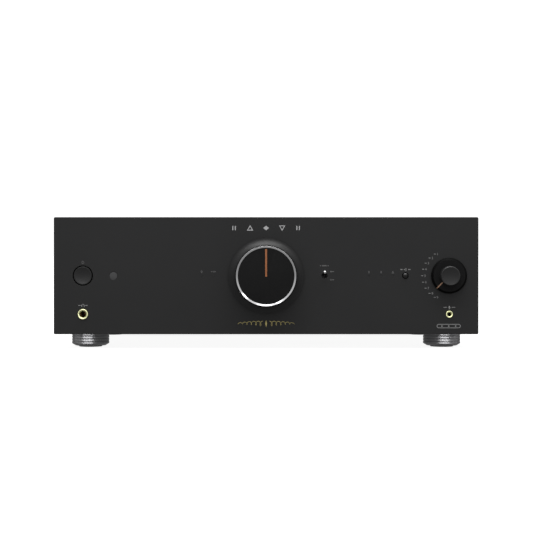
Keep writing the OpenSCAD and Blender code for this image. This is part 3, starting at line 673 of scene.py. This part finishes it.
def numeral(name, text, place, height, coat):
    """A number drawn with Blender's own font, centred on a place."""
    curve = bpy.data.curves.new(name, "FONT")
    curve.body = text
    curve.align_x = "CENTER"
    curve.align_y = "CENTER"
    curve.size = 1.0
    curve.resolution_u = 3
    temporary = bpy.data.objects.new(name, curve)
    bpy.context.scene.collection.objects.link(temporary)
    bpy.context.view_layer.update()
    flat = bpy.data.meshes.new_from_object(temporary)
    bpy.data.objects.remove(temporary)
    ys = [v.co.y for v in flat.vertices]
    scale = height / (max(ys) - min(ys))
    shift = (max(ys) + min(ys)) / 2
    bm = bmesh.new()
    bm.from_mesh(flat)
    walls = bmesh.ops.extrude_face_region(bm, geom=bm.faces[:] + bm.edges[:] + bm.verts[:])
    raised = {v for v in walls["geom"] if isinstance(v, bmesh.types.BMVert)}
    for v in bm.verts:
        v.co = place(v.co.x * scale, (v.co.y - shift) * scale, INK if v in raised else INK_BASE)
    bpy.data.meshes.remove(flat)
    finish_mesh(name, bm, coat, sharp=60)


def as_loop(points):
    """The same points, ending where they begin."""
    return points + points[:1]


# Power sign over the power button
ink_object("mark_power", [("line", ring_points(0, 0, 1.15, -240, 60, 20), 0.42),
                          ("line", [(0, 0.1), (0, 1.75)], 0.42)], front(power_at[0], 88.5), "ink_grey")
# Headphones between two dashes
ink_object("mark_headphones", [("line", ring_points(0, -0.1, 1.25, 0, 180, 14), 0.36),
                               bar_mark(-1.25, -0.55, 0.75, 1.15), bar_mark(1.25, -0.55, 0.75, 1.15),
                               bar_mark(-3.6, 0, 2.4, 0.45), bar_mark(3.6, 0, 2.4, 0.45)],
           front(phone_at[0], 44.6), "ink_white")
# Microphone between two dashes
capsule = ring_points(0, 0.75, 0.6, 0, 180, 8) + ring_points(0, 0.1, 0.6, 180, 360, 8)
ink_object("mark_microphone", [("line", ring_points(0, 0.2, 1.15, 180, 360, 14), 0.32), ("fill", capsule),
                               ("line", [(0, -0.95), (0, -1.6)], 0.32), bar_mark(0, -1.65, 1.4, 0.3),
                               bar_mark(-4.2, 0, 3.6, 0.42), bar_mark(4.2, 0, 3.6, 0.42)],
           front(mic_at[0], 42.6), "ink_white")
# Numbers round the selector, one for each place, with a dash before each
INPUTS = 9
INPUT_STEP = 15
INPUT_R = 25.6
for k in range(INPUTS):
    angle = math.radians(120 + INPUT_STEP * k)
    x, z = selector_at[0] + INPUT_R * math.cos(angle), ZC + INPUT_R * math.sin(angle)
    numeral(f"mark_input_{k + 1}", str(k + 1), front(x + 1.1, z), 2.3, "ink_light")
    ink_object(f"mark_dash_{k + 1}", [bar_mark(0, 0, 2.0, 0.7)], front(x - 1.7, z), "ink_light")
# Two positions of the toggle: a filled dot and a ring, under a dash between dots
ink_object("mark_toggle", [bar_mark(0, 0, 4.6, 1.0), dot_mark(-3.9, 0, 0.6), dot_mark(3.9, 0, 0.6)],
           front(toggle_at[0] - 0.2, 85.2), "ink_grey")
ink_object("mark_toggle_up", [dot_mark(-1.0, 0, 0.8), bar_mark(1.1, 0, 2.2, 0.8)],
           front(67.4, 79.2), "ink_grey")
ink_object("mark_toggle_down", [("line", ring_points(-1.1, 0, 0.65), 0.4), bar_mark(1.1, 0, 2.2, 0.8)],
           front(67.4, 70.8), "ink_grey")
# Sound waves between dashes over the small push button
ink_object("mark_push", [bar_mark(-4.1, 0, 2.2, 0.95), bar_mark(4.1, 0, 2.2, 0.95), dot_mark(-1.1, 0, 0.55),
                         ("line", ring_points(-1.1, 0, 1.2, -50, 50, 8), 0.45),
                         ("line", ring_points(-1.1, 0, 2.1, -50, 50, 10), 0.45)],
           front(push_at[0], 81.3), "ink_light")
# A sign over each status light
ink_object("mark_light_1", [("line", [(0, -1.1), (0.8, 0), (0, 1.1), (-0.8, 0), (0, -1.1)], 0.4)],
           front(LIGHTS_X[0], 79.1), "ink_grey")
ink_object("mark_light_2", [bar_mark(-1.5, 0, 1.5, 0.7), ("line", ring_points(0.6, 0, 0.6), 0.4),
                            bar_mark(2.2, 0, 1.0, 0.7)], front(LIGHTS_X[1], 79.1), "ink_grey")
for k, parts in enumerate(([dot_mark(0, -0.65, 0.55), dot_mark(0, 0.65, 0.55)], [bar_mark(0, 0, 0.85, 2.4)],
                           [("line", [(-0.9, -1.0), (0, 1.0), (0.9, -1.0), (-0.9, -1.0)], 0.4)])):
    ink_object(f"mark_light_{k + 3}", parts, front(LIGHTS_X[k + 2], 78.6), "ink_grey")

# Silver ornament over the knob: two pairs of bars, two triangles and a middle diamond
EMBLEM_Z = 123.8
EMBLEM_X = (-32.8, -16.4, 0.0, 16.4, 32.8)
for k, x in enumerate(EMBLEM_X):
    if k in (0, 4):
        parts = [bar_mark(-1.3, 0, 1.0, 4.4), bar_mark(1.3, 0, 1.0, 4.4)]
    elif k == 2:
        parts = [("fill", [(-3, 0), (0, -2.4), (3, 0), (0, 2.4)])]
    else:
        tip = 2.2 if k == 1 else -2.2
        parts = [("line", [(-2.6, -tip), (0, tip), (2.6, -tip), (-2.6, -tip)], 0.8)]
    ink_object(f"ornament_{k + 1}", parts, front(x, EMBLEM_Z), "ink_silver")


def scroll(side):
    """Half of a flourish: loops that shrink towards its outer end."""
    points, widths = [], []
    steps = 150
    for k in range(steps + 1):
        s = k / steps
        turns = 2 * math.pi * 5.5 * s
        height = 2.6 * (1 - 0.72 * s)
        x = 3.4 + 25.5 * s + 1.6 * math.sin(turns) * (1 - 0.5 * s)
        points.append((side * x, height * math.cos(turns) + 0.5 * math.sin(math.pi * s)))
        widths.append(0.5 * (0.55 + 0.45 * abs(math.cos(turns / 2))) * (1 - 0.5 * s))
    return "line", points, widths


at_flourish = front(0, 25.9)
ink_object("flourish_left", [scroll(-1)], at_flourish, "ink_gold")
ink_object("flourish_right", [scroll(1)], at_flourish, "ink_gold")
ink_object("flourish_middle", [("fill", [(-1.0, 0), (0, -3.6), (1.0, 0), (0, 3.6)])], at_flourish, "ink_gold")
# Pill-shaped ornament under the microphone socket
ink_object("ornament_pill", [("line", as_loop(round_box(0, 0, 24, 3.6, 1.8, 8)()), 0.7),
                             dot_mark(-7, 0, 0.8), dot_mark(0, 0, 0.8), dot_mark(7, 0, 0.8)],
           front(187.0, 23.4), "ink_light")

# ---- rear panel ----


def back(x, z):
    """Maps (right, up, out of the rear panel), seen from behind, from a point on that panel to metres."""
    return lambda u, v, h: ((x - u) * MM, REAR + h * MM, (z + v) * MM)


# Numbers and a bracket over each column of phono sockets, right and left rows marked by a ring and a dot
rca_low, rca_high, rca_mid = span("rca_collars")
RCA_PITCH = 20.0
RCA_TOP = rca_high.z / MM
for k in range(5):
    x = rca_mid.x / MM + RCA_PITCH * (k - 2)
    numeral(f"mark_rear_{5 - k}", str(5 - k), back(x, RCA_TOP + 6.2), 3.2, "ink_white")
    ink_object(f"mark_bracket_{5 - k}", [("line", [(-7, 0.6), (-7, 2), (7, 2), (7, 0.6)], 0.35)],
               back(x, RCA_TOP + 1.2), "ink_white")
row_x = rca_low.x / MM - 6
ink_object("mark_row_upper", [("line", ring_points(0, 0, 1.1), 0.4)], back(row_x, RCA_TOP - 4.6), "ink_white")
ink_object("mark_row_lower", [dot_mark(0, 0, 1.2)], back(row_x, rca_low.z / MM + 4.6), "ink_white")
# Plus and minus over the speaker terminals, on the panel above their base
base_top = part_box("speaker_terminal_base")[1].z / MM
for k in range(1, 5):
    x = span(f"terminal_cap_{k}")[2].x / MM
    parts = [bar_mark(0, 0, 4.0, 0.8)]
    if k % 2:
        parts += [bar_mark(0, 1.2, 0.8, 1.6), bar_mark(0, -1.2, 0.8, 1.6)]
    ink_object(f"mark_terminal_{k}", parts, back(x, base_top + 4.5), "ink_white")
# A wave over the mains inlet, earth bars by the grounding post, a boxed dash over each digital socket
_, inlet_high, inlet_mid = span("ac_inlet")
wave = [(-4 + 8 * k / 24, 1.3 * math.sin(2 * math.pi * k / 24)) for k in range(25)]
ink_object("mark_mains", [("line", wave, 0.55)], back(inlet_mid.x / MM, inlet_high.z / MM + 4.5), "ink_white")
ground_mid = span("ground_cap")[2]
ink_object("mark_earth", [bar_mark(0, 0, 4.4, 0.45), bar_mark(0, -1.1, 2.8, 0.45),
                          bar_mark(0, -2.2, 1.2, 0.45), bar_mark(0, 1.2, 0.45, 2.0)],
           back(ground_mid.x / MM - 12, ground_mid.z / MM), "ink_white")
for name, node in (("mark_optical", "optical_socket"), ("mark_network", "ethernet_socket")):
    _, high, mid = span(node)
    ink_object(name, [("line", as_loop(round_box(0, 0, 5, 3, 0.8, 3)()), 0.4),
                      bar_mark(0, 0, 2.2, 0.5)], back(mid.x / MM, high.z / MM + 3.6), "ink_white")

# Contact inside the headphone socket, for looks only. It stands free in the bore, short of the bore's end,
# and the CAD model has no such part.
contact = rounded([(0, -33), (2.9, -33), (2.9, -31.5, 0.8), (1.6, -29.5, 0.6), (0, -29)])
turned_piece("headphone_contact", contact, front(phone_at[0], JACK_Z), "contact_brown", slot="brass")

# ---- stage ----

FLOOR_SIZE = 60.0


def make_floor():
    """A pale floor that glows a little, left out of reflections and of the light that bounces."""
    mesh = bpy.data.meshes.new("floor")
    half = FLOOR_SIZE / 2
    corners = [(-half, -half, 0), (half, -half, 0), (half, half, 0), (-half, half, 0)]
    mesh.from_pydata(corners, [], [(0, 1, 2, 3)])
    floor = bpy.data.objects.new("floor", mesh)
    bpy.context.scene.collection.objects.link(floor)
    material("floor_white", (0.4, 0.4, 0.4), 0.9, vary=0.01, patches=2.0, Specular_IOR_Level=0.0,
             Emission_Color=(1, 1, 1, 1), Emission_Strength=0.9)
    paint(floor, "floor_white")
    floor.visible_glossy = False
    floor.visible_diffuse = False


# Height of a direction, from -1 straight down to 1 straight up, and how bright the studio is there
SURROUND = ((-1.0, 0.16), (-0.8, 0.3), (-0.3, 0.25), (0.0, 0.31), (0.12, 0.43), (0.5, 0.55), (0.73, 0.9),
            (0.9, 1.4), (0.97, 2.7))
BRIGHTEST = 2.7


def make_world():
    """White behind the object; a soft studio surround, brighter overhead, for what the light meets."""
    world = bpy.data.worlds.new("studio")
    bpy.context.scene.world = world
    world.use_nodes = True
    g = Graph(world.node_tree)
    up = g.add("ShaderNodeSeparateXYZ", {0: g.add("ShaderNodeTexCoord").outputs["Generated"]}).outputs["Z"]
    ramp = g.add("ShaderNodeValToRGB", {0: g.math("MULTIPLY_ADD", up, 0.5, c=0.5)})
    stops = ramp.color_ramp.elements
    stops.remove(stops[1])
    for k, (height, level) in enumerate(SURROUND):
        stop = stops[0] if k == 0 else stops.new((height + 1) / 2)
        stop.position = (height + 1) / 2
        stop.color = (level / BRIGHTEST,) * 3 + (1,)
    surround = g.add("ShaderNodeBackground", {"Color": ramp.outputs[0], "Strength": BRIGHTEST})
    white = g.add("ShaderNodeBackground", {"Color": (1, 1, 1, 1), "Strength": 1.2})
    seen = g.add("ShaderNodeLightPath").outputs["Is Camera Ray"]
    mixed = g.add("ShaderNodeMixShader", {0: seen, 1: surround.outputs[0], 2: white.outputs[0]})
    g.add("ShaderNodeOutputWorld", {"Surface": mixed.outputs[0]})


def area_light(name, place, target, size, power, size_y=None, only=None):
    """A rectangular light; only names the pieces that it lights."""
    data = bpy.data.lights.new(name, "AREA")
    data.shape = "RECTANGLE"
    data.size = size
    data.size_y = size_y or size
    data.energy = power
    light = bpy.data.objects.new(name, data)
    light.location = place
    light.rotation_euler = (Vector(target) - Vector(place)).to_track_quat("-Z", "Y").to_euler()
    bpy.context.scene.collection.objects.link(light)
    if only:
        light.light_linking.receiver_collection = bpy.data.collections.new(name + "_on")
        for piece in only:
            light.light_linking.receiver_collection.objects.link(piece)


# The camera's height is chosen so that the front panel hides the rear feet; the shift then frames the object
# as the photograph does. At the height of VIEW_MIDDLE there would be no shift.
CAMERA_DISTANCE = 1.5
CAMERA_HEIGHT = 0.1
VIEW_MIDDLE = 0.0844
LENS_MM = 98.95
SENSOR_MM = 36.0


def make_camera():
    data = bpy.data.cameras.new("camera")
    data.lens = LENS_MM
    data.sensor_width = SENSOR_MM
    data.sensor_fit = "HORIZONTAL"
    data.clip_start = 0.02
    data.clip_end = 100.0
    data.shift_y = (VIEW_MIDDLE - CAMERA_HEIGHT) / (CAMERA_DISTANCE * SENSOR_MM / LENS_MM)
    camera = bpy.data.objects.new("camera", data)
    camera.location = (0.0004, FRONT - CAMERA_DISTANCE, CAMERA_HEIGHT)
    camera.rotation_euler = (math.radians(90), 0, 0)
    bpy.context.scene.collection.objects.link(camera)
    bpy.context.scene.camera = camera


make_floor()
make_world()
area_light("overhead", (0.0, -0.45, 1.6), (0, -0.1, 0.05), 1.6, 10.0, 0.9)
knob_ring = bpy.data.objects["knob_ring"]
for name, degrees, size, power in (("streak_low", 88, 0.5, 0.75), ("streak_left", 42, 0.2, 0.4),
                                   ("streak_right", 118, 0.2, 0.25)):
    turn_to = math.radians(degrees)
    place = Vector((0.73 * math.cos(turn_to), -0.68, 0.73 * math.sin(turn_to))) * 1.3
    aim = Vector((0, FRONT, CONTROL_Z))
    area_light(name, place + aim, aim, size, power, only=[knob_ring])
area_light("top_wash", (0.0, FRONT - 0.35, 0.62), (0, FRONT, 0.12), 1.0, 0.9, 0.12)
area_light("socket_front", (0.0, FRONT - 1.2, 0.5), (0, FRONT, JACK_Z * MM), 1.2, 6.5,
           only=[nodes["headphone_jack_ring"], nodes["mic_jack_ring"]])
phone_x, jack_z = phone_at[0] * MM, JACK_Z * MM
area_light("socket_depth", (phone_x, FRONT - 0.9, jack_z), (phone_x, FRONT, jack_z), 0.1, 2.0,
           only=[bpy.data.objects["headphone_contact"]])
for side, sign in (("left", -1), ("right", 1)):
    foot_x = sign * abs(FEET[0][0]) * MM
    foot_place = (foot_x, FRONT, 0.01)
    area_light(f"foot_front_{side}", (foot_x + sign * 0.2, FRONT - 0.9, 0.12), foot_place, 1.1, 9.0, 0.24,
               only=[feet_pieces[side]])
    area_light(f"foot_side_{side}", (foot_x + sign * 0.9, FRONT - 0.1, 0.12), foot_place, 1.0, 1.2, 0.24,
               only=[feet_pieces[side]])
make_camera()
scene = bpy.context.scene
scene.view_settings.view_transform = "Standard"
scene.view_settings.look = "None"
